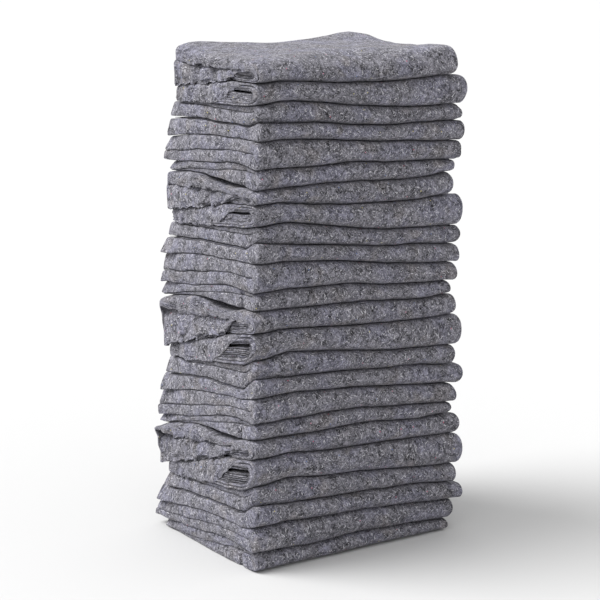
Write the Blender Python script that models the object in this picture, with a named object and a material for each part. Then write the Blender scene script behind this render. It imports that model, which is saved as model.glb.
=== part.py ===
"""A stack of 24 grey textile moving blankets, as they leave the bale.

Each blanket is one 72 x 54 inch sheet of stitch-bonded felt, folded in half four times. The last fold is a
round roll along the front, and the blankets lie on each other with all those rolls to the front. Cut across,
a folded blanket is one band that runs back and forth: from a cut end at the back, round the front roll, back
along the top, round a smaller fold, and forward and round again inside. That section is lofted along X.

Metres, +Z up. The stack stands on z = 0 with its front, the long rolls, towards -Y. The origin is the centre
of its footprint.
"""

import math
from typing import NamedTuple

import bmesh
import bpy

STACK_NAME = "moving_blanket_stack"
MM = 0.001

# The near corner of the stack's nominal footprint, from which the blankets' reaches are given.
CORNER_X = -0.2350
CORNER_Y = -0.1825

# Where the heights in the table below are taken, from the corner along the front, and along the left side.
FRONT_STATIONS = (0.015, 0.150, 0.300, 0.435)
LEFT_STATION = 0.330
# How much of the left side's slope is left at the right end, which lies flatter.
RIGHT_SLOPE_SHARE = 0.6

# Facing blankets press on each other between these two lines, and curve away from each other outside them.
CONTACT_FRONT = CORNER_Y + 0.018
CONTACT_BACK = CORNER_Y + 0.265

NEIGHBOUR_GAP = 0.8 * MM  # between one blanket and the next
LAYER_GAP = 0.8 * MM  # between the four runs of a blanket's band
RUNS = 4  # back-and-forth runs in the section, each of them four sheets of felt
CUT_STAGGER = 4 * MM  # the inner cut end lies this much further in than the outer one
END_ROUND = 9 * MM  # length over which a blanket's two ends round off
END_SHARE = 0.62  # thickness left at the very end
END_PULL_IN = 5 * MM  # how much the front roll and the back draw in at the very end

# Points between the two ends of a turn: on the front roll, on the smaller turns, and in their tight cores.
OUTER_ARC_POINTS = 5
FOLD_ARC_POINTS = 3
CORE_ARC_POINTS = 1

FELT_COLOUR = (0.150, 0.147, 0.168, 1.0)
FELT_ROUGHNESS = 0.95


class Blanket(NamedTuple):
    """Thickness at five places, and how far the folded blanket reaches from the near corner, in millimetres.

    corner, third, two_thirds and right lie along the front, and left is the far end of the left side.
    """

    corner: float
    third: float
    two_thirds: float
    right: float
    left: float
    x_from: float
    x_to: float
    y_from: float
    y_to: float


# The bottom blanket first. Every sixth one starts the same run of thick and thin folds again.
BLANKETS = (
    Blanket(33, 29, 30, 20, 20, -5, 446, 1, 338),
    Blanket(50, 52, 43, 40, 35, -8, 458, 0, 368),
    Blanket(37, 36, 37, 35, 31, -9, 479, -1, 359),
    Blanket(42, 45, 38, 38, 33, -6, 467, 2, 334),
    Blanket(55, 50, 56, 62, 35, -9, 475, -3, 322),
    Blanket(34, 37, 40, 40, 61, -9, 469, 0, 336),
    Blanket(32, 33, 29, 23, 17, -5, 449, 2, 352),
    Blanket(47, 47, 39, 38, 49, -6, 461, -1, 358),
    Blanket(30, 31, 36, 39, 35, -6, 477, 0, 350),
    Blanket(42, 43, 35, 38, 37, -3, 459, 2, 328),
    Blanket(51, 46, 54, 60, 43, -5, 470, -2, 315),
    Blanket(39, 38, 42, 38, 71, -6, 457, 0, 324),
    Blanket(33, 37, 30, 28, 25, -1, 446, 3, 345),
    Blanket(55, 48, 40, 36, 57, -2, 458, -1, 346),
    Blanket(34, 29, 34, 37, 33, -2, 465, 0, 343),
    Blanket(35, 37, 32, 35, 33, 2, 464, 2, 323),
    Blanket(38, 40, 51, 59, 43, -1, 468, -2, 309),
    Blanket(25, 34, 41, 41, 49, -2, 447, 1, 314),
    Blanket(35, 36, 33, 25, 22, 5, 454, 3, 318),
    Blanket(54, 47, 39, 37, 45, 4, 465, 0, 336),
    Blanket(32, 30, 30, 36, 38, 5, 469, 0, 331),
    Blanket(33, 36, 34, 33, 33, 6, 466, 2, 308),
    Blanket(38, 38, 48, 54, 42, 2, 472, -2, 292),
    Blanket(37, 46, 52, 44, 57, 4, 452, 0, 294),
)


def between(x, stations, values):
    """The value at x on the line through the stations, carried on straight past the ends."""
    last = len(stations) - 2
    i = min(last, sum(x > station for station in stations[1:-1]))
    share = (x - stations[i]) / (stations[i + 1] - stations[i])
    return values[i] + share * (values[i + 1] - values[i])


def level(number, x, y):
    """Height at x, y of the surface on which blanket number lies, counted from 0. All below it carry it."""
    below = BLANKETS[:number]
    front = [sum(getattr(b, place) for b in below) for place in ("corner", "third", "two_thirds", "right")]
    left = sum(b.left for b in below)
    slope = (left - front[0]) / LEFT_STATION
    along = (x - CORNER_X - FRONT_STATIONS[0]) / (FRONT_STATIONS[-1] - FRONT_STATIONS[0])
    slope *= 1 + (RIGHT_SLOPE_SHARE - 1) * along
    return (between(x - CORNER_X, FRONT_STATIONS, front) + slope * (y - CORNER_Y)) * MM


def arc(y, z_from, z_to, depth, points):
    """The inner points of half an ellipse from (y, z_from) to (y, z_to) that stands depth out from y."""
    middle, half = (z_from + z_to) / 2, (z_to - z_from) / 2
    angles = [math.pi * (i + 1) / (points + 1) for i in range(points)]
    return [(y + depth * math.sin(a), middle - half * math.cos(a)) for a in angles]


def run_heights(number, x, y, squash):
    """Lower and upper height of each of the band's four runs at x, y."""
    floor_gap = NEIGHBOUR_GAP / 2 if number else 0.0
    low = level(number, x, y) + floor_gap
    high = level(number + 1, x, y) - NEIGHBOUR_GAP / 2
    run = (high - low - (RUNS - 1) * LAYER_GAP) / RUNS
    edges = [(low + i * (run + LAYER_GAP), low + i * (run + LAYER_GAP) + run) for i in range(RUNS)]
    middle = (low + high) / 2
    return [tuple(middle + (z - middle) * squash for z in edge) for edge in edges]


def section(number, x, squash, pull_in):
    """The closed outline, as (y, z), of one blanket's band where it is cut across at x.

    Runs 0 to 3 lie one above the other. Run 0 wraps round the front into run 3, run 3 folds at the back
    into run 2, and run 2 wraps inside the first turn into run 1. Runs 0 and 1 end in the cut edges.
    """

    def heights(y):
        return run_heights(number, x, y, squash)

    blanket = BLANKETS[number]
    turn = CONTACT_FRONT
    front_end = CORNER_Y + blanket.y_from * MM + pull_in
    back_end = CORNER_Y + blanket.y_to * MM - pull_in
    inner_cut = back_end - CUT_STAGGER
    fold_depth = (heights(back_end)[3][1] - heights(back_end)[2][0]) / 2
    fold = back_end - fold_depth
    at_turn, at_line, at_fold = heights(turn), heights(CONTACT_BACK), heights(fold)
    at_cut, at_inner_cut = heights(back_end), heights(inner_cut)

    # How far the faces of the two wraps stand out from the turn, each one run or one gap further in.
    run = at_turn[0][1] - at_turn[0][0]
    outer_face = turn - front_end
    outer_back = outer_face - run
    inner_face = max(outer_back - LAYER_GAP * squash, LAYER_GAP)
    inner_back = max(inner_face - run, LAYER_GAP / 2)

    outline = [(back_end, at_cut[0][0]), (CONTACT_BACK, at_line[0][0]), (turn, at_turn[0][0])]
    outline += arc(turn, at_turn[0][0], at_turn[3][1], -outer_face, OUTER_ARC_POINTS)
    outline += [(turn, at_turn[3][1]), (CONTACT_BACK, at_line[3][1]), (fold, at_fold[3][1])]
    outline += arc(fold, at_fold[3][1], at_fold[2][0], fold_depth, FOLD_ARC_POINTS)
    outline += [(fold, at_fold[2][0]), (turn, at_turn[2][0])]
    outline += arc(turn, at_turn[2][0], at_turn[1][1], -inner_back, CORE_ARC_POINTS)
    outline += [(turn, at_turn[1][1]), (inner_cut, at_inner_cut[1][1])]
    outline += [(inner_cut, at_inner_cut[1][0]), (turn, at_turn[1][0])]
    outline += arc(turn, at_turn[1][0], at_turn[2][1], -inner_face, FOLD_ARC_POINTS)
    outline += [(turn, at_turn[2][1]), (fold, at_fold[2][1])]
    outline += arc(fold, at_fold[2][1], at_fold[3][0], LAYER_GAP / 2, CORE_ARC_POINTS)
    outline += [(fold, at_fold[3][0]), (turn, at_turn[3][0])]
    outline += arc(turn, at_turn[3][0], at_turn[0][1], -outer_back, FOLD_ARC_POINTS)
    outline += [(turn, at_turn[0][1]), (back_end, at_cut[0][1])]
    return outline


def stations(blanket):
    """(x, thickness share, pull-in) where the section is taken, from the left end to the right."""
    start, end = CORNER_X + blanket.x_from * MM, CORNER_X + blanket.x_to * MM
    return (
        (start, END_SHARE, END_PULL_IN),
        (start + END_ROUND, 1.0, 0.0),
        (CORNER_X + FRONT_STATIONS[1], 1.0, 0.0),
        (CORNER_X + FRONT_STATIONS[2], 1.0, 0.0),
        (end - END_ROUND, 1.0, 0.0),
        (end, END_SHARE, END_PULL_IN),
    )


def loft(name, sections):
    """A closed mesh through (x, outline) sections that all have as many points.

    Each four-sided patch is split along the diagonal whose left end is the further back, above and below
    alike, so that facing blankets have the same facets and stay their gap apart.
    """
    bm = bmesh.new()
    rings = [[bm.verts.new((x, y, z)) for y, z in outline] for x, outline in sections]
    for ring, following in zip(rings, rings[1:]):
        for i, near in enumerate(ring):
            j = (i + 1) % len(ring)
            patch = (near, ring[j], following[j], following[i])
            if ring[j].co.y > near.co.y:
                patch = patch[1:] + patch[:1]
            bm.faces.new(patch[:3])
            bm.faces.new((patch[0], *patch[2:]))
    caps = [bm.faces.new(rings[0]), bm.faces.new(rings[-1])]
    bm.normal_update()
    bmesh.ops.triangulate(bm, faces=caps, ngon_method="EAR_CLIP")
    bmesh.ops.recalc_face_normals(bm, faces=bm.faces)
    mesh = bpy.data.meshes.new(name)
    bm.to_mesh(mesh)
    bm.free()
    return mesh


def felt(name):
    material = bpy.data.materials.new(name)
    material.use_nodes = True
    shader = material.node_tree.nodes["Principled BSDF"]
    shader.inputs["Base Color"].default_value = FELT_COLOUR
    shader.inputs["Roughness"].default_value = FELT_ROUGHNESS
    shader.inputs["Metallic"].default_value = 0.0
    material.diffuse_color = FELT_COLOUR
    return material


def add_blanket(number, collection):
    name = f"blanket_{number + 1:02d}"
    places = stations(BLANKETS[number])
    sections = [(x, section(number, x, squash, pull_in)) for x, squash, pull_in in places]
    blanket = bpy.data.objects.new(name, loft(name, sections))
    blanket.data.materials.append(felt(f"felt_{number + 1:02d}"))
    collection.objects.link(blanket)


def main():
    for old in list(bpy.data.objects):
        bpy.data.objects.remove(old, do_unlink=True)
    stack = bpy.data.collections.new(STACK_NAME)
    bpy.context.scene.collection.children.link(stack)
    for number in range(len(BLANKETS)):
        add_blanket(number, stack)


main()
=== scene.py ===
"""Looks of a stack of 24 grey textile moving blankets.

Each blanket is one 54 x 72 inch sheet of felt, folded in half four times into sixteen layers. It is built
as that one thin sheet: a grid over the flat cloth is carried along its layers and round every fold. The last
fold is the long roll at the front.

Metres, +Z up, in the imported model's frame. The stack's front faces -Y and its left side faces -X. X and Y
are also counted as "reaches" from the near corner, where the front meets the left side. "Across" is from
left to right, and "along" from front to back.
"""

import math
from collections import namedtuple

import bpy
import numpy as np
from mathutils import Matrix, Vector


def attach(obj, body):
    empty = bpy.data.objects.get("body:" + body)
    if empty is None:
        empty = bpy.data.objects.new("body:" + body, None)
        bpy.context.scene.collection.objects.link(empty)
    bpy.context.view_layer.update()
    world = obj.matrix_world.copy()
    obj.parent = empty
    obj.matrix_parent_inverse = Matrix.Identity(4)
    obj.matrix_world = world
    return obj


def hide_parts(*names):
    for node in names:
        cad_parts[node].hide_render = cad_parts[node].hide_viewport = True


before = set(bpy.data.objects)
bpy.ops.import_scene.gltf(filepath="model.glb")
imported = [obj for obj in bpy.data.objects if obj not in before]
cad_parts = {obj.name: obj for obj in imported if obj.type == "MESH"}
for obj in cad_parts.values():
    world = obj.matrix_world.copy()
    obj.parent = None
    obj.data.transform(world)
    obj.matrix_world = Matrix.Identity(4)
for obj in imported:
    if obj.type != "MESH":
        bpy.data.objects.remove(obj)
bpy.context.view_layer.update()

MM = 0.001
CORNER = np.array((-0.2350, -0.1825, 0.0))
LAYERS = 16
FELT_THICKNESS = 2.4 * MM
FILL = 0.9  # a layer is at most this share of the room between its neighbours
NEIGHBOUR_GAP = 0.9 * MM

# Where the blankets' thicknesses are taken, along the front and along the left side.
FRONT_STATIONS = (0.015, 0.150, 0.300, 0.435)
LEFT_STATION = 0.330
RIGHT_SLOPE_SHARE = 0.6  # how much of the left side's slope is left at the right end


# Thickness at five places, turn, and how far the blanket reaches from the near corner, in millimetres. turn
# is how far the seam above it drops as it turns the near corner from the front to the left side.
Blanket = namedtuple("Blanket", "corner third two_thirds right left turn x_from x_to y_from y_to")
# The bottom blanket first. Against the CAD some are thicker or thinner at the corner and at the left, as in
# the photo, and all end 4 mm sooner at the right.
BLANKET_ROWS = (
    (33, 29, 30, 20, 20, 0, -5, 442, 1, 338),
    (53, 52, 43, 40, 35, 7, -8, 454, 0, 368),
    (48, 36, 37, 35, 31, 28, -9, 475, -1, 359),
    (36, 45, 38, 38, 31, 17, -6, 463, 2, 334),
    (47, 50, 56, 62, 23, 0, -9, 471, -3, 322),
    (36, 37, 40, 40, 75, 5, -9, 465, 0, 336),
    (30, 33, 29, 23, 17, 0, -5, 445, 2, 352),
    (49, 47, 39, 38, 49, 5, -6, 457, -1, 358),
    (43, 31, 36, 39, 35, 31, -6, 473, 0, 350),
    (34, 43, 35, 38, 32, 14, -3, 455, 2, 328),
    (44, 46, 54, 60, 26, 0, -5, 466, -2, 315),
    (40, 38, 42, 38, 93, 2, -6, 453, 0, 324),
    (34, 37, 30, 28, 25, 4, -1, 442, 3, 345),
    (53, 48, 40, 36, 57, 1, -2, 454, -1, 346),
    (45, 29, 34, 37, 33, 22, -2, 461, 0, 343),
    (27, 37, 32, 35, 29, 7, 2, 460, 2, 323),
    (35, 40, 51, 59, 26, 0, -1, 464, -2, 309),
    (25, 34, 41, 41, 70, 0, -2, 443, 1, 314),
    (35, 36, 33, 25, 22, 1, 5, 450, 3, 318),
    (54, 47, 39, 37, 45, -1, 4, 461, 0, 336),
    (40, 30, 30, 36, 38, 17, 5, 465, 0, 331),
    (28, 36, 34, 33, 33, 6, 6, 462, 2, 308),
    (35, 38, 48, 54, 27, 0, 2, 468, -2, 292),
    (37, 46, 52, 44, 72, 0, 4, 448, 0, 294),
)
BLANKETS = [Blanket(*row) for row in BLANKET_ROWS]

# Where a flap's lip stands out along the side: the middle, half the width, and how far, in mm.
Gape = namedtuple("Gape", "middle half size")
# How the layers from first to last end at an open left side, in pairs for the lowest and the highest one.
# near is where they end at the near corner, and held how much of that height they keep further in. Farther
# along they hang from shoulder down to lip, which rises by rise towards the far end. All are shares of the
# thickness. inset is how far in they hang, and swing how far they come out again lower down, in mm.
Ends = namedtuple("Ends", "first last near held shoulder lip rise inset swing gapes", defaults=((),))

# An open left side whose upper layers hang as two flaps, the lower one nearly to the bottom.
LOWER_GAPES = (Gape(175, 14, 6), Gape(250, 12, 5))
UPPER_GAPES = (Gape(148, 18, 10), Gape(205, 22, 8))
DRAPED = (
    Ends(0, 3, (0.03, 0.12), 1, (0.03, 0.20), (0.03, 0.20), 0, (18.0, 18.0), 0),
    Ends(4, 7, (0.15, 0.25), 1, (0.26, 0.45), (0.26, 0.45), 0, (18.0, 18.0), 0),
    Ends(8, 11, (0.32, 0.43), 1, (0.52, 0.70), (0.01, 0.04), -0.05, (17.6, 14.5), 11, (Gape(255, 22, 4),)),
    Ends(12, 13, (0.47, 0.50), 0, (0.78, 0.85), (0.09, 0.09), 0.20, (14.0, 12.0), 11, LOWER_GAPES),
    Ends(14, 15, (0.54, 0.57), 0, (0.92, 0.98), (0.58, 0.58), 0.14, (2.2, 0.0), 0, UPPER_GAPES),
)
# An open left side whose top two layers hang to the bottom as one smooth face.
ROLLED = (
    Ends(0, 5, (0.03, 0.27), 1, (0.03, 0.29), (0.03, 0.29), 0, (3.6, 3.6), 0),
    Ends(6, 9, (0.34, 0.53), 1, (0.35, 0.54), (0.35, 0.54), 0, (3.6, 3.6), 0),
    Ends(10, 13, (0.70, 0.85), 1, (0.60, 0.82), (0.60, 0.82), 0, (3.6, 3.6), 0),
    Ends(14, 15, (0.92, 0.97), 1, (0.90, 0.97), (0.05, 0.05), 0, (1.7, 0.0), 0),
)

# How far the top flap curls out at its far end, in mm, and by what share of the thickness it lifts for each.
CURLS = {5: 17, 11: 15}
CURL_LIFT = 0.012
CURL_FROM, CURL_TO = 0.80, 0.97


# How every sixth blanket lies. Shares are of its thickness. lower_near and lower_far are the lower eight
# layers' shares at the ends of a closed left side. The lifts are of the seam above it, in mm. ends are an
# open left side's layers, which start to hang between hang_from and hang_to. hang_square is how square they
# bend, hollow how far the top sinks by the near corner, and lean how far out the far end leans, in mm.
# crease is how deep a closed side's crease is, in mm.
Kind = namedtuple(
    "Kind",
    "lower_near lower_far left_lift front_lift hang_from hang_to hang_square hollow lean ends crease",
    defaults=(0, 0, 0, 0, 0, (), 0),
)
# From the top of the stack down, and then over again.
KINDS = (
    Kind(0.50, 0.50, (6, 12), (0, 1.5, -4), 0.04, 0.11, 5.0, 0.22, 0, DRAPED),
    Kind(0.50, 0.50, (7, 2), (4, -1.5, -1), 0.03, 0.16, 5.0, 0, 5, ROLLED),
    Kind(0.66, 0.97, (0, 0), (6, 0, -1)),
    Kind(0.96, 0.96, (3, 5), (-1.5, 0, 3)),
    Kind(0.53, 0.39, (5, 8), (2, 0, -0.5)),
    Kind(0.85, 0.06, (13, 5), (0.5, 3, -0.5), crease=6),
)

# Where the lifts are: shares of the left side, and reaches across the front. At the stations there are none.
LEFT_LIFTS = (0.25, 0.65)
FRONT_LIFTS = (0.06, 0.225, 0.37)
FRONT_LIFTS_FROM, FRONT_LIFTS_TO = 0.0, 0.47
# How far in from the left side its lifts and turns are felt, and from the front its lifts.
LEFT_FELT, FRONT_FELT = 0.07, 0.15
TURN_REACH = 0.052  # a seam has turned the near corner by here

# LEVEL[i][j] is the layer, counted from the bottom, of the sheet's cell i across and j along. Cells 0 and 1,
# and cells 2 and 3, are joined by folds at the stack's closed side across, and by the front roll along.
LEVEL = np.array(((0, 15, 12, 3), (7, 8, 11, 4), (6, 9, 10, 5), (1, 14, 13, 2)))
# Blankets with their open side to the left are turned over, which puts other cells outside.
LEVEL_OPEN_LEFT = LEVEL[[1, 0, 3, 2]]
CELLS = len(LEVEL)
SMALL_FOLD = 1  # the cell whose fold across, with the next one, is the small one inside

# Depth of a fold's turn: this much, and this much more for every layer between its two ends, halved.
LEAST_TURN = 0.6 * MM
ROLL_PITCH = 2.85 * MM
CLOSED_PITCH = 3.26 * MM
SMALL_PITCH = 2.4 * MM
FREE_TURN_SHARE = 0.45  # where layers hang, a fold's turn is this share of how far apart they are

# How square the folds are: 2 is round. A closed left side is squarest near the corner and droops farther on.
FRONT_FULLNESS = 2.0
SIDE_FULLNESS = (9.0, 7.0)
RIGHT_FULLNESS = 3.4
SMALL_FULLNESS = 2.2
SIDE_DROOP = (1.0, 1.25)

# A closed left side leans in at its far end, the higher layers more: how far, and from and to which share.
SIDE_LEAN = 16 * MM
LEAN_FROM, LEAN_TO = 0.78, 1.04
LEAN_POWER = 2.4
DRAWN_IN = 9 * MM  # how far in the smaller of its two lots of eight layers lies, at most twice over
# The upright crease in a closed left side: how far along it is, and half its width.
CREASE_REACH, CREASE_WIDTH = 37 * MM, 4.5 * MM

# A layer that hangs over an open end: its cloth, and how far in it starts to bend down.
HANG_LENGTH = 32 * MM
HANG_REACH = 20 * MM
LEAST_REACH = 1.5 * MM
SWING_DROP = 8 * MM  # how far below the top flap's lip the layers under it have swung out
SWING_NEAR, SWING_FAR = 0.6, 1.5  # shares of the swing that a flap has at its two ends
LEAST_LIP = -0.06  # how low a lip may hang, past the seam that the blanket lies on
RISE_POWER = 3
HANG_LEAN_FROM = 0.7  # the share of the left side from which an open one leans out

# How uneven lips are, up and out. Folds are less so, and so are lips that hang by less than FREE_LENGTH.
RAGGED_SIZES = (2.0 * MM, 2.6 * MM)
RAGGED_FOLD = 0.7
RAGGED_HELD = 0.25
FREE_LENGTH = 8 * MM
# How much of a gape's size the lip goes up, and the layers under it start lower to swing out.
GAPE_LIFT, GAPE_DROP = 0.6, 0.5

# So many layers up and down from the middle of an open blanket's front roll lie back by the near corner.
NESTED_LAYERS = 5
NESTED_IN, NESTED_REACH = 9 * MM, 0.100
# Its middle layers' left ends lie further in there: how many, how far and over what reaches.
CORE_LAYERS, CORE_IN = 2.4, 3 * MM
CORE_ALONG, CORE_ACROSS = 0.018, 0.080
# Where its top sinks and rises again, as reaches along, and how far in from the side.
HOLLOW_ALONG = (0.02, 0.08, 0.11, 0.22)
HOLLOW_ACROSS = 0.12

END_REACH = 45 * MM  # how far in from an end its layers lie unevenly
# How uneven the layers are at closed ends, at open ends and at the back.
CLOSED_UNEVEN, OPEN_UNEVEN, BACK_UNEVEN = 0.1, 0.7, 0.6
# How far in the layers' ends are spread at the right and the back, and how wavy they are, in mm.
END_SPREAD, END_WAVE = 9, 1.6

# How far from an end the sheet is sampled, in mm, and how many samples are between the two ends.
NEAR_CORNER = (66, 92)  # where the seams turn steeply
FINE_END = (0, 2.5, 6, 11, 17, 24, 32, 45, *NEAR_CORNER)
CLOSED_END = (0, 6, 16, 32, 50, *NEAR_CORNER)
PLAIN_END = (0, 12, 36)
PLAIN_LEFT_END = (*PLAIN_END, *NEAR_CORNER)
CUT_END = (0, 4, 12, 24, 45)
FULL_MIDDLE, PLAIN_MIDDLE = 12, 2
FRONT_END = (0, 8, 20, 32, 44, 57)
CREASED_END = (0, 8, 20, 29, 33, 37, 41, 46, 56)
INNER_FRONT_END = (0, 8, 24)
BACK_END = (0, 3, 8, 16, 28)
OPEN_MIDDLES, CLOSED_MIDDLES = (26, 22), (15, 9)
# Samples round the three folds between the sheet's cells, across and along.
ACROSS_TURNS, ALONG_TURNS = (9, 5, 5), (10, 4, 5)


# Smooth noise is a sum of so many plane waves, of lengths between these shares of its own.
WAVE_PARTS, WAVE_LENGTHS = 7, (0.7, 1.5)
WAVE_SCALE = 2.6  # what the sum is divided by
# The first of its seeds, its wavelength in metres, and its size.
Wave = namedtuple("Wave", "seed length size")

SEAM_WAVE = Wave(100, 0.140, 0.7)  # size in mm
SEAM_WAVE_FULL = 60  # seams higher than this, in mm, have all of it, and the floor none
ROOM_LENGTH = 0.070  # of the waves that make the layers' rooms uneven, in metres
INSET_WAVES = (Wave(20, 0.090, 1.0), Wave(50, 0.028, 0.4))
RAGGED_WAVES = (Wave(0, 0.060, 1.0), Wave(60, 0.022, 0.9))
SETTLED_WAVES = (Wave(7, 0.055, 0.7 * MM), Wave(17, 0.030, 0.35 * MM))

# Each blanket has its own thousand seeds, with these for its sides.
BLANKET_SEEDS = 1000
LEFT_SEED, RIGHT_SEED, BACK_SEED = 100, 200, 300
RIGHT_IN_SEED, BACK_IN_SEED = 2, 3


def add_object(name, data):
    item = bpy.data.objects.new(name, data)
    bpy.context.scene.collection.objects.link(item)
    return item


def kind_of(number):
    return KINDS[(len(BLANKETS) - 1 - number) % len(KINDS)]


def smooth(low, high, value):
    t = np.clip((value - low) / (high - low), 0, 1)
    return t * t * (3 - 2 * t)


def between(pair, share):
    return pair[0] + (pair[1] - pair[0]) * share


def waves(seed, length, *places):
    """Smooth noise, mostly between -1 and 1, of about that wavelength."""
    random = np.random.default_rng(seed)
    total = 0.0
    for _ in range(WAVE_PARTS):
        way = random.normal(size=len(places))
        way *= 2 * math.pi / (length * random.uniform(*WAVE_LENGTHS) * np.linalg.norm(way))
        total = total + np.sin(sum(w * p for w, p in zip(way, places)) + random.uniform(0, 2 * math.pi))
    return total / WAVE_SCALE


def uneven(table, seed, *places):
    """The sum of a table's waves, with their seeds counted from that one."""
    return sum(wave.size * waves(seed + wave.seed, wave.length, *places) for wave in table)


def curve(x, stations, values):
    """The value at x on a smooth line through the stations, carried on straight past the ends."""
    stations, values = np.asarray(stations, float), np.asarray(values, float)
    slopes = np.gradient(values, stations)
    i = np.clip(np.searchsorted(stations, x) - 1, 0, len(stations) - 2)
    span = stations[i + 1] - stations[i]
    t = (x - stations[i]) / span
    c = np.clip(t, 0, 1)
    inner = (1 + 2 * c) * (1 - c) ** 2 * values[i] + c * (1 - c) ** 2 * span * slopes[i]
    inner += c * c * (3 - 2 * c) * values[i + 1] + c * c * (c - 1) * span * slopes[i + 1]
    return inner + np.minimum(t, 0) * span * slopes[i] + np.maximum(t - 1, 0) * span * slopes[i + 1]


# --- Seams


def seam(number, x, y):
    """Height, at reaches x and y, of what blanket number lies on. After the last it's the stack's top."""
    below = BLANKETS[:number]
    front = [sum(column) for column in zip(*(blanket[:4] for blanket in below))] or [0] * len(FRONT_STATIONS)
    height = curve(x, FRONT_STATIONS, front)
    if number:
        far = sum(blanket.left for blanket in below)
        across = (x - FRONT_STATIONS[0]) / (FRONT_STATIONS[-1] - FRONT_STATIONS[0])
        height = height + (far - front[0]) * y / LEFT_STATION * (1 + (RIGHT_SLOPE_SHARE - 1) * across)
    if 0 < number < len(BLANKETS):
        height = height + seam_lift(number, x, y)
        rough = waves(SEAM_WAVE.seed + number, SEAM_WAVE.length, x, y)
        height = height + SEAM_WAVE.size * rough * smooth(0, SEAM_WAVE_FULL, height)
    return height * MM + (crown(x, y) if number == len(BLANKETS) else 0)


def seam_lift(number, x, y):
    """How far the seam under blanket number is off the plain surface through the stations, in mm."""
    kind = kind_of(number - 1)
    share = np.clip(y / LEFT_STATION, 0, 1)
    turned = BLANKETS[number - 1].turn * smooth(0.0, TURN_REACH, y) * (1 - share)
    left_lift = curve(share, (0, *LEFT_LIFTS, 1), (0, *kind.left_lift, 0))
    by_left = np.exp(-((np.maximum(x, 0) / LEFT_FELT) ** 2))
    places = sorted((FRONT_LIFTS_FROM, *FRONT_STATIONS, *FRONT_LIFTS, FRONT_LIFTS_TO))
    lifts = dict(zip(FRONT_LIFTS, kind.front_lift))
    front_lift = curve(x, places, [lifts.get(place, 0) for place in places])
    return by_left * (left_lift - turned) + front_lift * np.exp(-((y / FRONT_FELT) ** 2))


# A hump or hollow of the top of the stack: its reach in x and y, radius and height, in millimetres.
Hump = namedtuple("Hump", "x y radius rise")
HUMPS = (Hump(50, 300, 60, 9), Hump(400, 305, 55, 14), Hump(225, 300, 60, -7), Hump(445, 60, 60, 9))
# The top's front edge is a ridge, from which it rounds down to the front. At a reach x it is at the reach y,
# and the top comes down from it by drop, in mm, at the front.
Ridge = namedtuple("Ridge", "x y drop")
RIDGE = (
    Ridge(0.00, 0.040, 9),
    Ridge(0.05, 0.046, 14),
    Ridge(0.13, 0.056, 22),
    Ridge(0.22, 0.068, 32),
    Ridge(0.30, 0.060, 31),
    Ridge(0.38, 0.036, 22),
    Ridge(0.44, 0.022, 12),
)
RIDGE_RISE, RIDGE_WIDTH = 3.0, 0.030


def crown(x, y):
    """How far the top of the stack is off the surface through the stations."""
    ridge_x, ridge_y, drops = zip(*RIDGE)
    ridge = curve(x, ridge_x, ridge_y)
    to_front = np.clip(1 - y / ridge, 0, 1)
    height = -curve(x, ridge_x, drops) * (1 - np.sqrt(1 - to_front**2))
    height = height + RIDGE_RISE * np.exp(-(((y - ridge) / RIDGE_WIDTH) ** 2))
    for hump in HUMPS:
        away = ((x / MM - hump.x) ** 2 + (y / MM - hump.y) ** 2) / hump.radius**2
        height = height + hump.rise * np.exp(-away)
    return height * MM


# --- Layers


def ends_apart(level, side):
    """The pairs of layers that a side's folds join."""
    if side == "front":
        return [(level[i][j], level[i][j + 1]) for i in range(CELLS) for j in (0, 2)]
    if side == "back":
        return [(level[i][1], level[i][2]) for i in range(CELLS)]
    if side == "closed":
        return [(level[i][j], level[i + 1][j]) for i in (0, 2) for j in range(CELLS)]
    return [(level[1][j], level[2][j]) for j in range(CELLS)]


def halves(lower):
    """Layers' heights with the lower eight taking that share."""
    even = (np.arange(LAYERS) + 0.5) / LAYERS
    return np.where(even < 0.5, 2 * lower * even, 1 - 2 * (1 - lower) * (1 - even))


def uneven_heights(seed, along, near, far, share, unevenness):
    """Height of each layer at a side, as a share of the thickness, for every place along it.

    near and far are the heights at the side's two ends.
    """
    gaps = np.array([np.diff((0, *heights, 1)) for heights in (near, far)])[:, :, None]
    gaps = between(gaps, share * np.ones_like(along))
    for layer in range(1, LAYERS):
        gaps[layer] *= np.exp(unevenness * waves(seed + layer, ROOM_LENGTH, along))
    gaps /= gaps.sum(0)
    return np.cumsum(gaps, axis=0)[:LAYERS]


def insets(seed, along, level, side):
    """How far in each layer's end lies at a side. Both layers of a fold have the same."""
    random = np.random.default_rng(seed)
    found = [None] * LAYERS
    for layer in range(LAYERS):
        base = random.uniform(0, END_SPREAD)
        found[layer] = (base + END_WAVE * uneven(INSET_WAVES, seed + layer, along)) * MM
    for first, second in ends_apart(level, side):
        found[second] = found[first]
    return np.array(found)


def turn_depths(level, side, per_layer):
    """How deep a turn each layer ends in at a side, 0 where it ends in a cut edge."""
    depths = np.zeros(LAYERS)
    for pair in ends_apart(level, side):
        for layer in pair:
            depths[layer] = LEAST_TURN + per_layer * abs(int(pair[0]) - int(pair[1])) / 2
    return depths[:, None, None]


def ends_column(ends, name):
    """One value for each of the sixteen layers from a table of their ends."""
    runs = [np.broadcast_to(getattr(row, name), 2) for row in ends]
    values = [np.linspace(*run, row.last - row.first + 1) for run, row in zip(runs, ends)]
    return np.concatenate(values)[:, None]


# An open left side, for each layer and place along it, with heights as shares and lengths in metres. Below
# under the layers swing out. turn is how deep their folds' turns are, and turn_down how much of it is down.
Hang = namedtuple("Hang", "shoulder lip under reach swing turn turn_down")


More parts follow.
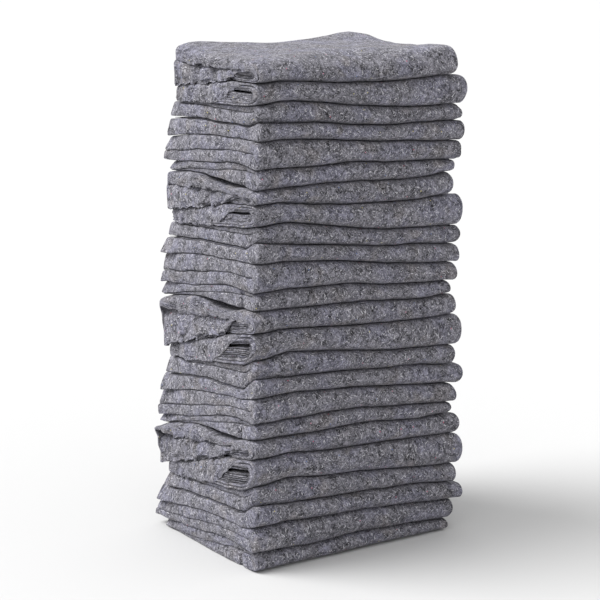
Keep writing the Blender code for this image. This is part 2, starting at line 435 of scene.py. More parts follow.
def ragged_ends(seed, along, pairs):
    """How far each layer's lip is up and how far out, by its raggedness."""
    folded = {layer for pair in pairs for layer in pair}
    ragged = np.zeros((2, LAYERS, len(along)))
    for layer in range(LAYERS):
        for axis, size in enumerate(RAGGED_SIZES):
            wave = uneven(RAGGED_WAVES, seed + 2 * layer + axis, along)
            ragged[axis, layer] = (RAGGED_FOLD if layer in folded else 1.0) * size * wave
    for first, second in pairs:
        ragged[:, second] = ragged[:, first]
    return ragged


def hanging(number, level, seed, along, y_from, thick):
    """How the layers of a blanket's open left side hang, at places along it where it is so thick."""
    kind = kind_of(number)
    full = smooth(kind.hang_from, kind.hang_to, along - y_from)
    share = np.clip(along / LEFT_STATION, 0, 1)
    columns = (ends_column(kind.ends, name) for name in Ends._fields[2:-1])
    near, held, shoulder, lip, rise, inset, swing = columns
    at_corner = between((halves(0.5)[:, None], near), held)
    shoulder = between((at_corner, shoulder), full)
    lip = between((near, lip + rise * share**RISE_POWER), full)
    under = lip[-1]
    reach = HANG_REACH - inset * MM * full - kind.lean * MM * smooth(HANG_LEAN_FROM, 1.0, share)
    swing = swing * MM * full * between((SWING_NEAR, SWING_FAR), share)

    pairs = ends_apart(level, "open")
    up, out = ragged_ends(seed, along, pairs)
    free = np.clip((shoulder - lip) * thick / FREE_LENGTH, 0, 1)
    lip = np.maximum(lip + free * up / thick, LEAST_LIP)
    reach = np.maximum(reach + between((RAGGED_HELD, 1), free) * out, LEAST_REACH)
    for row in kind.ends:
        run = slice(row.first, row.last + 1)
        for middle, half, size in row.gapes:
            gape = np.clip(1 - ((along / MM - middle) / half) ** 2, 0, 1) ** 2 * size * MM
            lip[run] += GAPE_LIFT * gape / thick
            reach[run] += gape
            under = under - GAPE_DROP * gape / thick
    curled = CURLS.get(number, 0) * smooth(CURL_FROM, CURL_TO, share)
    reach[-2:] += MM * curled
    lip[-2:] += CURL_LIFT * curled
    turn = np.zeros_like(reach)
    for a, b in pairs:
        apart = np.hypot((lip[a] - lip[b]) * thick, reach[a] - reach[b])
        turn[a] = turn[b] = LEAST_TURN + FREE_TURN_SHARE * apart
    return Hang(shoulder, lip, under, reach, swing, turn, free)


# --- The folded sheet


def sampled(length, low, high, middle):
    """Places across one cell, as shares of its length, from the two ends' spots and so many between."""
    low, high = [a * MM / length for a in low], [1 - a * MM / length for a in high]
    inner = np.linspace(low[-1], high[-1], middle + 2)[1:-1]
    return np.array([*low, *inner, *high[::-1]])


# Samples down one direction of the sheet: the two cells that each lies between, how far across the cell it
# is, and its angle round the fold, 0 outside one.
Line = namedtuple("Line", "first second share angle")


def folded_line(cells, start, steps):
    """A line from the places across each cell and the steps round each fold.

    start is the end, 0 or 1, where cell 0 starts.
    """
    rows, end = [], start
    for i, spots in enumerate(cells):
        rows += [(i, i, t, 0) for t in (spots if end == 0 else spots[::-1])]
        end = 1 - end
        if i < len(steps):
            rows += [(i, i + 1, end, math.pi * (step + 1) / (steps[i] + 1)) for step in range(steps[i])]
    first, second, share, angle = np.array(rows, float).T
    return Line(first.astype(int), second.astype(int), share, angle)


def fold_shape(angle, fullness, droop=1.0):
    """How far up and out a fold is at an angle round it, as shares. A droop over 1 puts its widest low."""
    cosine, sine = np.cos(angle), np.abs(np.sin(angle))
    up = (1 - np.sign(cosine) * np.abs(cosine) ** (2 / fullness)) / 2
    return up**droop, np.where(angle > 0, sine ** (2 / fullness), 0)


class Samples:
    """A grid over one blanket's cloth, and where each of its samples is on the folded sheet.

    The first axis of its arrays runs across and the second along. A sample lies on one layer, in a fold
    between two, or, where two folds cross, between four.
    """

    def __init__(self, number):
        blanket, self.kind = BLANKETS[number], kind_of(number)
        self.opened = bool(self.kind.ends)
        self.level = LEVEL_OPEN_LEFT if self.opened else LEVEL
        self.x_from, self.x_to = blanket.x_from * MM, blanket.x_to * MM
        self.y_from, self.y_to = blanket.y_from * MM, blanket.y_to * MM
        self.width, self.depth = self.x_to - self.x_from, self.y_to - self.y_from
        self.across, self.along = self.line_across(), self.line_along()
        self.tau, self.sigma = self.across.share[:, None], self.along.share[None, :]
        self.near_x, self.near_y = self.x_from + self.tau * self.width, self.y_from + self.sigma * self.depth
        self.share = np.clip(self.near_y / LEFT_STATION, 0, 1)
        self.left_side, self.front_side = self.tau < 0.5, self.sigma < 0.5
        self.find_folds()

    def line_across(self):
        """The sheet's first cell starts at the open side. The outer cell's samples are the closest."""
        if self.opened:
            full_left, plain_left, right, outer, start = FINE_END, FINE_END, PLAIN_END, 1, 0
        else:
            full_left, plain_left, right, outer, start = CLOSED_END, PLAIN_LEFT_END, CUT_END, 0, 1
        plain = sampled(self.width, plain_left, right, PLAIN_MIDDLE)
        full = sampled(self.width, full_left, right, FULL_MIDDLE)
        return folded_line([full if i == outer else plain for i in range(CELLS)], start, ACROSS_TURNS)

    def line_along(self):
        """The first cell starts at the back."""
        outer_middle, inner_middle = OPEN_MIDDLES if self.opened else CLOSED_MIDDLES
        front_end = CREASED_END if self.kind.crease else FRONT_END
        outer = sampled(self.depth, front_end, BACK_END, outer_middle)
        inner = sampled(self.depth, INNER_FRONT_END, BACK_END, inner_middle)
        return folded_line([outer, outer, inner, inner], 1, ALONG_TURNS)

    def find_folds(self):
        """How far each sample is out in its folds, and the four layers it lies between, with weights."""
        ia, ib, _, angle_u = (column[:, None] for column in self.across)
        ja, jb, _, angle_v = (column[None, :] for column in self.along)
        # Folds of the closed left side droop, whichever way they run.
        squareness = np.where(self.left_side, between(SIDE_FULLNESS, self.share**2), RIGHT_FULLNESS)
        squareness = np.where(ia == SMALL_FOLD, SMALL_FULLNESS, squareness)
        droops = self.left_side & (not self.opened)
        droop = np.where(droops, between(SIDE_DROOP, self.share**2), 1.0)
        rising, self.out_u = fold_shape(angle_u, squareness, droop)
        falling, _ = fold_shape(math.pi - angle_u, squareness, droop)
        wv, self.out_v = fold_shape(angle_v, np.where(self.front_side, FRONT_FULLNESS, SMALL_FULLNESS))
        level = self.level
        turned = (np.where(level[ib, j] > level[ia, j], rising, 1 - falling) for j in (ja, jb))
        wa, wb = (np.where(angle_u > 0, share, 0) for share in turned)
        self.layers = (
            (level[ia, ja], (1 - wa) * (1 - wv)),
            (level[ib, ja], wa * (1 - wv)),
            (level[ia, jb], (1 - wb) * wv),
            (level[ib, jb], wb * wv),
        )

    def blend(self, of_layer):
        """Each sample's value from the sixteen layers' values."""
        values = np.broadcast_to(of_layer, (LAYERS, len(self.tau), self.sigma.shape[1]))
        return sum(np.take_along_axis(values, layer[None], 0)[0] * weight for layer, weight in self.layers)


def near_start(reach, value):
    """1 where the value is 0, and 0 from the reach on."""
    return 1 - smooth(0.0, reach, value)


def open_across(s, hang):
    """Where an open blanket's layers lie in x, how far its folds are out, and how bent its layers are."""
    closed = turn_depths(s.level, "closed", CLOSED_PITCH)
    right_x = s.x_to - closed.max()
    cloth = s.tau * s.width
    bend = (1 - np.clip(cloth / HANG_LENGTH, 0, 1)) * math.pi / 2
    hang_out, hang_up = (turned ** (2 / s.kind.hang_square) for turned in (np.sin(bend), np.cos(bend)))
    past = np.clip((cloth - HANG_LENGTH) / (s.width - HANG_LENGTH), 0, 1)
    layers_x = s.x_from + HANG_REACH - hang.reach[:, None, :] * hang_out
    layers_x = layers_x + past * (right_x - s.x_from - HANG_REACH)
    by_corner = near_start(CORE_ALONG, s.near_y) * near_start(CORE_ACROSS, s.near_x - s.x_from)
    layers_x = layers_x + np.exp(-((from_middle() / CORE_LAYERS) ** 2)) * CORE_IN * by_corner
    free_turn = s.blend((hang.turn * (1 - hang.turn_down))[:, None, :])
    return layers_x, np.where(s.left_side, -free_turn, s.blend(closed)) * s.out_u, hang_out, hang_up


def closed_across(s, seed, left_heights):
    """Where a closed blanket's layers lie in x, and how far its folds are out."""
    closed = turn_depths(s.level, "closed", CLOSED_PITCH)
    small = turn_depths(s.level, "open", SMALL_PITCH)
    lower = between((s.kind.lower_near, s.kind.lower_far), s.share[0])[None, :]
    upper_layers = (np.arange(LAYERS) >= LAYERS // 2)[:, None]
    drawn = np.where(upper_layers, np.maximum(lower - 0.5, 0), np.maximum(0.5 - lower, 0))
    leaning = SIDE_LEAN * smooth(LEAN_FROM, LEAN_TO, s.near_y[0] / LEFT_STATION) * left_heights**LEAN_POWER
    crease = s.kind.crease * MM * np.exp(-(((s.near_y - CREASE_REACH) / CREASE_WIDTH) ** 2))
    left_x = s.x_from + closed.max() + (DRAWN_IN * drawn + leaning)[:, None, :] + crease
    right_x = s.x_to - small - insets(seed + RIGHT_IN_SEED, s.near_y, s.level, "open")
    turn_out = np.where(s.left_side, -s.blend(closed), s.blend(small))
    return between((left_x, right_x), s.tau), turn_out * s.out_u


def from_middle():
    """How far each layer is from the middle one, in layers."""
    return (np.arange(LAYERS) - (LAYERS - 1) / 2)[:, None, None]


def sheet_along(s, seed):
    """Where the samples lie in y."""
    front_turn = turn_depths(s.level, "front", ROLL_PITCH)
    back_turn = turn_depths(s.level, "back", SMALL_PITCH)
    nested = s.opened & (np.abs(from_middle()) < NESTED_LAYERS)
    front_in = nested * NESTED_IN * near_start(NESTED_REACH, s.near_x - s.x_from)
    front_y = s.y_from + front_turn.max() + front_in
    back_y = s.y_to - back_turn - insets(seed + BACK_IN_SEED, s.near_x, s.level, "back")
    turn_out = np.where(s.front_side, -s.blend(front_turn), s.blend(back_turn))
    return s.blend(between((front_y, back_y), s.sigma)) + turn_out * s.out_v


def layer_shares(s, seed, left_heights, room):
    """Every layer's height over every sample, as a share of the blanket's thickness there, which is room."""
    even = halves(0.5)
    right_uneven = CLOSED_UNEVEN if s.opened else OPEN_UNEVEN
    right_heights = uneven_heights(seed + RIGHT_SEED, s.near_y[0], even, even, 0, right_uneven)
    back_heights = uneven_heights(seed + BACK_SEED, s.near_x[:, 0], even, even, 0, BACK_UNEVEN)
    even = even[:, None, None]
    by_left = near_start(END_REACH, s.tau * s.width - (HANG_LENGTH if s.opened else 0))
    by_right = near_start(END_REACH, (1 - s.tau) * s.width)
    by_back = near_start(END_REACH, (1 - s.sigma) * s.depth) * (1 - by_left) * (1 - by_right)
    part = even + by_left * (left_heights[:, None, :] - even)
    part = part + by_right * (right_heights[:, None, :] - even)
    part = part + by_back * (back_heights[:, :, None] - even)
    # The lowest and the highest layer touch the blanket's own bottom and top.
    margin = np.minimum(even[0], FELT_THICKNESS / 2 / room)
    return margin + (1 - 2 * margin) * (part - part[0]) / (part[-1] - part[0])


def hollowed(s, number, part, x):
    """The layers' shares of an open blanket, sunk by the near corner where another blanket lies on it."""
    start, deep, rising, end = HOLLOW_ALONG
    loaded = number + 1 < len(BLANKETS)
    along = smooth(start, deep, s.near_y) * (1 - smooth(rising, end, s.near_y)) * loaded
    return part * (1 - s.kind.hollow * along * near_start(HOLLOW_ACROSS, x))


def sheet_points(s, number):
    """The middle of the sheet and its thickness, over the samples."""
    seed = BLANKET_SEEDS * (number + 1)
    if s.opened:
        thick = seam(number + 1, s.x_from, s.near_y[0]) - seam(number, s.x_from, s.near_y[0])
        hang = hanging(number, s.level, seed + LEFT_SEED, s.near_y[0], s.y_from, thick)
        left_heights = hang.shoulder
        layers_x, folds_out, hang_out, hang_up = open_across(s, hang)
    else:
        near, far = halves(s.kind.lower_near), halves(s.kind.lower_far)
        left_heights = uneven_heights(seed + LEFT_SEED, s.near_y[0], near, far, s.share[0], CLOSED_UNEVEN)
        layers_x, folds_out = closed_across(s, seed, left_heights)
    x = s.blend(layers_x) + folds_out
    y = sheet_along(s, seed)

    floor = seam(number, x, y) + (NEIGHBOUR_GAP / 2 if number else 0)
    ceiling = seam(number + 1, x, y) - NEIGHBOUR_GAP / 2
    part = layer_shares(s, seed, left_heights, ceiling - floor)
    if s.opened:
        part = hollowed(s, number, part, x)
        part = between((hang.lip[:, None, :], part), hang_up)
    heights = between((floor, ceiling), part)
    # Room between each layer and the next, with the surfaces below and above as far off as half a room.
    below, above = 2 * floor[None] - heights[:1], 2 * ceiling[None] - heights[-1:]
    rooms = np.diff(np.concatenate([below, heights, above]), axis=0)
    z = s.blend(heights)
    if s.opened:
        apart = np.diff(layers_x, axis=0, prepend=layers_x[:1], append=layers_x[-1:]) * hang_out
        rooms = np.hypot(rooms, apart)
        z = z - s.blend((hang.turn * hang.turn_down)[:, None, :]) * s.out_u * s.left_side
        top_lip = between((floor, ceiling), hang.under)
        x = x - s.blend(hang.swing[:, None, :]) * smooth(0, SWING_DROP, top_lip - z) * s.left_side
    thickness = s.blend(np.minimum(FELT_THICKNESS, FILL * np.minimum(rooms[:-1], rooms[1:])))
    return np.stack([x, y, z], axis=-1), thickness


# The left edge of the stack sags by EDGE_SAG between these reaches across, and a little more further out. It
# does so in full at the far station, and by the least share at the front. Up to FLOOR_STILL it does less.
EDGE_SAG, MOST_SAG, SAG_POWER = 4.5 * MM, 1.2, 1.5
SAG_FROM, SAG_TO = 0.012, -0.012
LEAST_SAG = 0.1
FLOOR_STILL = 0.03


def settled(points):
    """The same points after the whole stack has sagged and crumpled a little, which keeps blankets apart."""
    x, y, z = np.moveaxis(points, -1, 0)
    outside = np.clip((SAG_FROM - x) / (SAG_FROM - SAG_TO), 0, MOST_SAG)
    sag = EDGE_SAG * outside**SAG_POWER * np.clip(y / LEFT_STATION, LEAST_SAG, 1)
    moved = [uneven(SETTLED_WAVES, axis, x, y, z) for axis in range(3)]
    moved[2] = (moved[2] - sag) * smooth(0, FLOOR_STILL, z)
    return points + np.stack(moved, axis=-1)


# --- Meshes


# How finely each stretch of the sheet is laid out in the map for baked colour: its four cells, and the three
# turns between them, across and along. What is folded away inside gets little.
Fineness = namedtuple("Fineness", "cells_across turns_across cells_along turns_along")
CLOSED_FINENESS = Fineness((1, 0.3, 0.3, 0.3), (2.5, 0.3, 0.3), (1, 1, 0.25, 0.25), (3, 1, 0.25))
OPEN_FINENESS = Fineness((0.3, 1, 0.5, 0.3), (2.5, 2.5, 0.3), (0.5, 1, 0.25, 0.25), (3, 1, 0.25))
TOP_FINENESS = OPEN_FINENESS._replace(cells_along=(0.5, 1.6, 0.25, 0.25))
NEAR_FRONT = 0.15  # this share of an outer cell by the front is laid out twice as fine

# Where in the map the sheet's outer side, its inner side and its cut edges are.
MAP_EDGE = 0.004
OUTER_BAND, INNER_BAND, RIM_BAND = (0.004, 0.860), (0.866, 0.978), (0.984, 0.996)

# The cloth's own coordinates: which of the steps between two lines of samples stands for all of them, as a
# percentile, how far one blanket's felt is from the next one's, and one side's from the other's, in metres.
STEP_PERCENTILES = (90, 85)
BLANKET_SHIFTS = (2.3, 1.7)
SIDE_SHIFT = 0.9


def unit(vectors):
    return vectors / np.maximum(np.linalg.norm(vectors, axis=-1, keepdims=True), 1e-9)


def spread(lengths, low, high):
    """Places from low to high, as far apart as the lengths are in proportion."""
    places = np.concatenate([[0], np.cumsum(lengths)])
    return between((low, high), places / places[-1])


def grid(across_places, along_places):
    """Both places of every sample."""
    pair = np.broadcast_arrays(across_places[:, None], along_places[None, :])
    return np.stack(pair, -1).reshape(-1, 2)


def finer(line, cells, turns, by_front=False):
    """How finely each step down one direction of the folded sheet is laid out."""
    cell = line.first[:-1]
    turning = cell != line.second[1:]
    weight = np.where(turning, np.array((*turns, 0))[cell], np.array(cells)[cell])
    if by_front:
        weight = weight * np.where(~turning & (cell < 2) & (line.share[:-1] < NEAR_FRONT), 2, 1)
    return weight


# The faces as samples: the sheet's two sides, and the rim of cut edge, from each of edge to its after.
# rim_low is 1 for the corners of a rim's face that are on the lower side.
Faces = namedtuple("Faces", "top under rim rim_low edge after")


def rim_corners(first, second):
    """The corners of the rim's faces from what their two ends have."""
    return np.stack([first, first, second, second], -1)[:, ::-1]


def sheet_faces(rows, columns):
    index = np.arange(rows * columns).reshape(rows, columns)
    top = np.stack([index[:-1, :-1], index[1:, :-1], index[1:, 1:], index[:-1, 1:]], -1).reshape(-1, 4)
    edge = np.concatenate([index[:, 0], index[-1, 1:], index[-2::-1, -1], index[0, -2:0:-1]])
    after = np.roll(edge, -1)
    return Faces(top, top[:, ::-1], rim_corners(edge, after), np.array((0, 1, 1, 0)), edge, after)


def baked_map(number, samples, faces, steps, points, facing):
    """The sides' part of the map for baked colour, where nothing overlaps. facing is the normals' height."""
    fineness = CLOSED_FINENESS
    if samples.opened:
        fineness = OPEN_FINENESS if number + 1 < len(BLANKETS) else TOP_FINENESS
    across = steps[0] * finer(samples.across, fineness.cells_across, fineness.turns_across)
    along = steps[1] * finer(samples.along, fineness.cells_along, fineness.turns_along, by_front=True)
    highest = np.unravel_index(np.argmax(points[..., 2]), facing.shape)
    bands = (OUTER_BAND, INNER_BAND) if facing[highest] > 0 else (INNER_BAND, OUTER_BAND)
    across_places = spread(across, MAP_EDGE, 1 - MAP_EDGE)
    top, under = (grid(across_places, spread(along, *band)) for band in bands)
    return top[faces.top], under[faces.under]


def baked_rim(vertices, faces):
    """The rim's part of the map for baked colour."""
    lengths = np.linalg.norm(vertices[faces.after] - vertices[faces.edge], axis=-1)
    places = spread(lengths, MAP_EDGE, 1 - MAP_EDGE)
    u = rim_corners(places[:-1], places[1:])
    return np.stack([u, np.broadcast_to(np.array(RIM_BAND)[faces.rim_low], u.shape)], -1)


def sheet_mesh(name, vertices, corners, maps):
    mesh = bpy.data.meshes.new(name)
    mesh.vertices.add(len(vertices))
    mesh.vertices.foreach_set("co", vertices.ravel())
    mesh.loops.add(corners.size)
    mesh.loops.foreach_set("vertex_index", corners.ravel())
    mesh.polygons.add(len(corners))
    mesh.polygons.foreach_set("loop_start", np.arange(0, corners.size, 4))
    mesh.polygons.foreach_set("use_smooth", np.ones(len(corners), bool))
    for map_name, places in maps.items():
        mesh.uv_layers.new(name=map_name).uv.foreach_set("vector", places.ravel())
    mesh.uv_layers["cloth"].active_render = True
    mesh.uv_layers.active = mesh.uv_layers["cloth"]
    mesh.update()
    mesh.validate()
    return mesh


def add_sheet(number, material):
    """One blanket as a closed mesh, with the flat cloth's coordinates, in metres, as its UV map."""
    name = f"blanket_{number + 1:02d}"
    samples = Samples(number)
    points, thickness = sheet_points(samples, number)
    points = settled(points) + CORNER
    rows, columns = thickness.shape
    faces = sheet_faces(rows, columns)
    normal = unit(np.cross(np.gradient(points, axis=0), np.gradient(points, axis=1)))
    half = normal * thickness[..., None] / 2
    vertices = np.concatenate([(points + half).reshape(-1, 3), (points - half).reshape(-1, 3)])
    corners = [faces.top, faces.under + rows * columns, faces.rim + faces.rim_low * rows * columns]

    steps = [
        np.percentile(np.linalg.norm(np.diff(points, axis=axis), axis=-1), percentile, axis=1 - axis)
        for axis, percentile in enumerate(STEP_PERCENTILES)
    ]
    starts = (np.concatenate([[0], np.cumsum(step)]) for step in steps)
    flat = grid(*(start + shift * number for start, shift in zip(starts, BLANKET_SHIFTS)))
    rim = flat[faces.rim] + faces.rim_low[None, :, None] * FELT_THICKNESS
    cloth = np.concatenate([flat[faces.top], flat[faces.under] + SIDE_SHIFT, rim])
    baked = baked_map(number, samples, faces, steps, points, normal[..., 2])
    maps = {"cloth": cloth, "OFBake": np.concatenate([*baked, baked_rim(vertices, faces)])}

    mesh = sheet_mesh(name, vertices, np.concatenate(corners), maps)
    mesh.materials.append(material)
    blanket = add_object(f"felt_{name}", mesh)
    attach(blanket, "root")
    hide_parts(name)


# --- Material


# A Mix node has sockets of the same names for numbers and for colours. These are the ones for colours.
MIX_A, MIX_B, MIX_RESULT = 6, 7, 2


class Graph:
    """Adds nodes to a material. An input is given as a socket or as a value, a colour without its alpha."""

    def __init__(self, material):
        self.tree = material.node_tree

    def put(self, socket, value):
        if isinstance(value, bpy.types.NodeSocket):
            self.tree.links.new(value, socket)
        else:
            socket.default_value = (*value, 1) if socket.type == "RGBA" else value

    def node(self, kind, output, inputs, **settings):
        node = self.tree.nodes.new("ShaderNode" + kind)
        for name, value in settings.items():
            setattr(node, name, value)
        for name, value in inputs.items():
            self.put(node.inputs[name], value)
        return node.outputs[output]

    def math(self, operation, *values):
        return self.node("Math", "Value", dict(enumerate(values)), operation=operation)

    def ramp(self, value, low, high, to_low=0.0, to_high=1.0):
        ends = {"Value": value, "From Min": low, "From Max": high, "To Min": to_low, "To Max": to_high}
        return self.node("MapRange", "Result", ends, interpolation_type="SMOOTHSTEP")

    def noise(self, place, noise):
        inputs = {"Vector": place, "Scale": 1 / noise.size, "Detail": noise.detail}
        inputs |= {"Roughness": noise.roughness, "Distortion": noise.distortion}
        return self.node("TexNoise", "Fac", inputs, noise_dimensions="2D")

    def cells(self, place, size, output):
        """The cloth in cells of about that size: its own coordinates, one output, and each cell's colour."""
        scaled = self.node("VectorMath", "Vector", {0: place, "Scale": 1 / size}, operation="SCALE")
        inputs = {"Vector": scaled, "Scale": 1.0}
        found = self.node("TexVoronoi", output, inputs, voronoi_dimensions="2D")
        colour = self.node("SeparateColor", "Red", {"Color": found.node.outputs["Color"]})
        return scaled, found, colour.node.outputs

    def mix(self, share, first, second, blend="MIX"):
        inputs = {"Factor": share, MIX_A: first, MIX_B: second}
        return self.node("Mix", MIX_RESULT, inputs, data_type="RGBA", blend_type=blend)


# Noise, with features of about that size in metres. From low to high it goes from to_low to to_high.
Noise = namedtuple("Noise", "size detail roughness distortion low high to_low to_high")
CLOUD = Noise(0.0700, 2.0, 0.50, 0.0, 0.30, 0.70, 0.93, 1.07)
PATCH = Noise(0.0240, 2.0, 0.50, 0.0, 0.30, 0.70, -0.28, 0.28)
MOTTLE = Noise(0.0085, 3.0, 0.60, 0.6, 0.30, 0.75, -0.42, 0.80)
GRAIN = Noise(0.0030, 2.0, 0.75, 0.4, 0.30, 0.74, -0.50, 0.82)

GREY, VIOLET, WARM = (0.121, 0.118, 0.135), (0.116, 0.114, 0.143), (0.125, 0.118, 0.127)
VIOLET_FROM, VIOLET_TO = 0.42, 0.66  # of the cloud
TINGE = Noise(0.0520, 2.0, 0.50, 0.2, 0.56, 0.74, 0.0, 1.0)

PALE_FIBRE, DARK_FIBRE = (0.58, 0.57, 0.61), (0.028, 0.027, 0.032)

# Curled hairs, one in each cell of that size in metres, from a pattern shifted so far. thin is half a hair's
# width, as a share of the cell, and bend how curled it is. A cell shows one where its random number is over
# least, at most with the strength most. relief is how far it stands up.
Hair = namedtuple("Hair", "cell shift thin bend tint least most relief")
HAIRS = (
    Hair(0.0095, 0.0, 0.115, 2.2, PALE_FIBRE, 0.52, 1.00, 0.9),
    Hair(0.0070, 3.1, 0.130, 2.6, DARK_FIBRE, 0.30, 0.75, 0.3),
    Hair(0.0050, 5.7, 0.160, 2.0, PALE_FIBRE, 0.45, 0.75, 0.9),
)
HAIR_CORE = 0.3  # the share of its width that is solid
HAIR_HALF, HAIR_TIP = 0.25, 0.42  # where a hair starts to fade, and where it ends, as shares of the cell

# Spots, at most one in each cell of that size in metres, where its random number is over few. The radius is
# a share of the cell. Each spot has one of the tints.
Knot = namedtuple("Knot", "cell radius tints few")
RED, YELLOW, BLUE, PINK = (0.62, 0.06, 0.14), (0.70, 0.62, 0.16), (0.10, 0.20, 0.50), (0.70, 0.25, 0.36)
KNOTS = (
    Knot(0.0105, 0.085, ((0.80, 0.80, 0.83),), 0.42),
    Knot(0.040, 0.036, (RED, YELLOW, BLUE, PINK), 0.62),
)
KNOT_CORE = 0.4  # the share of its radius that is solid
KNOT_FADE = 0.05  # over this much of its random number a spot goes from nothing to all of its strength
KNOT_STRENGTH = 0.85
MOTTLE_RELIEF, KNOT_RELIEF, GRAIN_RELIEF = 0.9, 0.6, 0.8
BUMP = {"Strength": 0.9, "Distance": 0.0009}
ROUGH_BY_GRAIN = (0.3, 0.7, 0.88, 0.98)  # from a low to a high grain, from less rough to rougher
SHEEN = {"Sheen Weight": 0.14, "Sheen Roughness": 0.45, "Sheen Tint": (0.75, 0.75, 0.82)}
FELT_SPECULAR = 0.25


def hair_shape(g, place, hair):
    """1 on the hairs and 0 off them, and each cell's random number."""
    moved = g.node("VectorMath", "Vector", {0: place, 1: (hair.shift, 2 * hair.shift, 0)}, operation="ADD")
    scaled, spot, chance = g.cells(moved, hair.cell, "Position")
    away = g.node("VectorMath", "Vector", {0: scaled, 1: spot}, operation="SUBTRACT")
    parts = g.node("SeparateXYZ", "X", {"Vector": away}).node.outputs
    angle = g.math("MULTIPLY", chance["Red"], 2 * math.pi)
    cosine, sine = g.math("COSINE", angle), g.math("SINE", angle)
    on = g.math("ADD", g.math("MULTIPLY", parts["X"], cosine), g.math("MULTIPLY", parts["Y"], sine))
    off = g.math("SUBTRACT", g.math("MULTIPLY", parts["Y"], cosine), g.math("MULTIPLY", parts["X"], sine))
    curl = g.math("MULTIPLY", g.math("SUBTRACT", chance["Green"], 0.5), 2 * hair.bend)
    off = g.math("SUBTRACT", off, g.math("MULTIPLY", g.math("MULTIPLY", on, on), curl))
    side = g.ramp(g.math("ABSOLUTE", off), HAIR_CORE * hair.thin, hair.thin, 1.0, 0.0)
    end = g.ramp(g.math("ABSOLUTE", on), HAIR_HALF, HAIR_TIP, 1.0, 0.0)
    return g.math("MULTIPLY", side, end), chance["Blue"]


def knot_shape(g, place, knot):
    """How strong the spots are, and their tints."""
    _, far, chance = g.cells(place, knot.cell, "Distance")
    near = g.ramp(far, KNOT_CORE * knot.radius, knot.radius, 1.0, 0.0)
    spot = g.math("MULTIPLY", near, g.ramp(chance["Red"], knot.few, knot.few + KNOT_FADE))
    tint = knot.tints[0]
    for number, other in enumerate(knot.tints[1:], 1):
        tint = g.mix(g.math("GREATER_THAN", chance["Green"], number / len(knot.tints)), tint, other)
    return spot, tint


def new_material(name):
    material = bpy.data.materials.new(name)
    material.use_nodes = True
    return material, material.node_tree.nodes["Principled BSDF"]


def felt_material():
    """Felt of shredded textiles: grey fibre with pale and dark hairs, knots and a few coloured threads."""
    material, shader = new_material("felt")
    g = Graph(material)
    place = g.node("UVMap", "UV", {}, uv_map="cloth")

    # Cloudy patches, mottling and a fine grain change how light the felt is.
    cloud, mottle, grain = (g.noise(place, noise) for noise in (CLOUD, MOTTLE, GRAIN))
    colour = g.mix(g.ramp(cloud, VIOLET_FROM, VIOLET_TO), GREY, VIOLET)
    colour = g.mix(g.ramp(g.noise(place, TINGE), *TINGE[-4:]), colour, WARM)
    light = g.math("ADD", g.ramp(mottle, *MOTTLE[-4:]), g.ramp(grain, *GRAIN[-4:]))
    light = g.math("ADD", light, g.ramp(g.noise(place, PATCH), *PATCH[-4:]))
    light = g.math("ADD", light, g.ramp(cloud, *CLOUD[-4:]))
    grey_light = g.node("CombineColor", "Color", {channel: light for channel in ("Red", "Green", "Blue")})
    colour = g.mix(1.0, colour, grey_light, "MULTIPLY")

    relief = g.math("MULTIPLY", mottle, MOTTLE_RELIEF)
    for hair in HAIRS:
        shape, chance = hair_shape(g, place, hair)
        shown = g.math("MULTIPLY", shape, g.ramp(chance, hair.least, 1.0, 0.0, hair.most))
        colour = g.mix(shown, colour, hair.tint)
        relief = g.math("ADD", relief, g.math("MULTIPLY", shown, hair.relief))
    for knot in KNOTS:
        spot, tint = knot_shape(g, place, knot)
        colour = g.mix(g.math("MULTIPLY", spot, KNOT_STRENGTH), colour, tint)
        relief = g.math("ADD", relief, g.math("MULTIPLY", spot, KNOT_RELIEF))
    relief = g.math("ADD", relief, g.math("MULTIPLY", grain, GRAIN_RELIEF))

    normal = g.node("Bump", "Normal", {**BUMP, "Height": relief})
    looks = {"Normal": normal, "Base Color": colour, "Roughness": g.ramp(grain, *ROUGH_BY_GRAIN)}
    for name, value in {**looks, **SHEEN, "Specular IOR Level": FELT_SPECULAR}.items():
        g.put(shader.inputs[name], value)
    return material


# --- Floor, light and camera

FLOOR_HALF, FLOOR_DROP = 40.0, 0.0005  # a little below the stack, so that the two don't share a plane
FLOOR_GREY, FLOOR_ROUGHNESS = 0.56, 0.9
WORLD_STRENGTH = 0.92
# A soft light from the back left, far away, so that the floor is evenly lit. Its width is an angle.
KEY_TOWARDS, KEY_STRENGTH, KEY_WIDTH = (0.53, -0.33, -0.78), 3.5, math.radians(38)

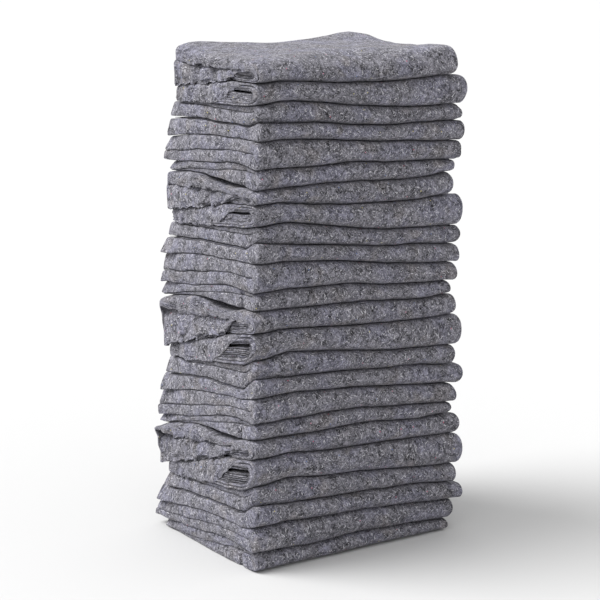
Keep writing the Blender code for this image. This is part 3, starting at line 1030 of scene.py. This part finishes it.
# The camera was fitted to the photo. It is so far back from the near corner, to its right and above it.
AZIMUTH, PITCH_DOWN = math.radians(34.2), math.radians(12.94)
CAMERA_BACK, CAMERA_RIGHT, CAMERA_UP = 3.705, 0.0739, 1.370
FOCAL_PIXELS, PICTURE_PIXELS, SENSOR = 2124, 600, 36.0
CLIP_END = 200


def add_floor():
    material, shader = new_material("floor_white")
    shader.inputs["Base Color"].default_value = (FLOOR_GREY, FLOOR_GREY, FLOOR_GREY, 1)
    shader.inputs["Roughness"].default_value = FLOOR_ROUGHNESS
    corners = [(x * FLOOR_HALF, y * FLOOR_HALF, 0) for x, y in ((-1, -1), (1, -1), (1, 1), (-1, 1))]
    mesh = bpy.data.meshes.new("floor")
    mesh.from_pydata(corners, [], [(0, 1, 2, 3)])
    mesh.materials.append(material)
    floor = add_object("floor", mesh)
    floor.location.z = -FLOOR_DROP


def add_key_light():
    data = bpy.data.lights.new("key", "SUN")
    data.energy, data.angle = KEY_STRENGTH, KEY_WIDTH
    light = add_object("key", data)
    light.rotation_euler = Vector(KEY_TOWARDS).to_track_quat("-Z", "Y").to_euler()


def add_world():
    world = bpy.data.worlds.new("studio")
    world.use_nodes = True
    background = world.node_tree.nodes["Background"]
    background.inputs["Color"].default_value = (1, 1, 1, 1)
    background.inputs["Strength"].default_value = WORLD_STRENGTH
    bpy.context.scene.world = world


def add_camera():
    away = Vector((math.sin(AZIMUTH), math.cos(AZIMUTH), 0))
    right = Vector((math.cos(AZIMUTH), -math.sin(AZIMUTH), 0))
    data = bpy.data.cameras.new("camera")
    data.sensor_width = SENSOR
    data.lens = FOCAL_PIXELS / PICTURE_PIXELS * SENSOR
    data.clip_end = CLIP_END
    camera = add_object("camera", data)
    camera.location = Vector(CORNER) - away * CAMERA_BACK + right * CAMERA_RIGHT + Vector((0, 0, CAMERA_UP))
    forward = away * math.cos(PITCH_DOWN) - Vector((0, 0, math.sin(PITCH_DOWN)))
    camera.rotation_euler = forward.to_track_quat("-Z", "Y").to_euler()
    bpy.context.scene.camera = camera


bpy.context.scene.view_settings.view_transform = "Standard"
add_camera()
add_floor()
add_world()
add_key_light()
felt = felt_material()
for number in range(len(BLANKETS)):
    add_sheet(number, felt)
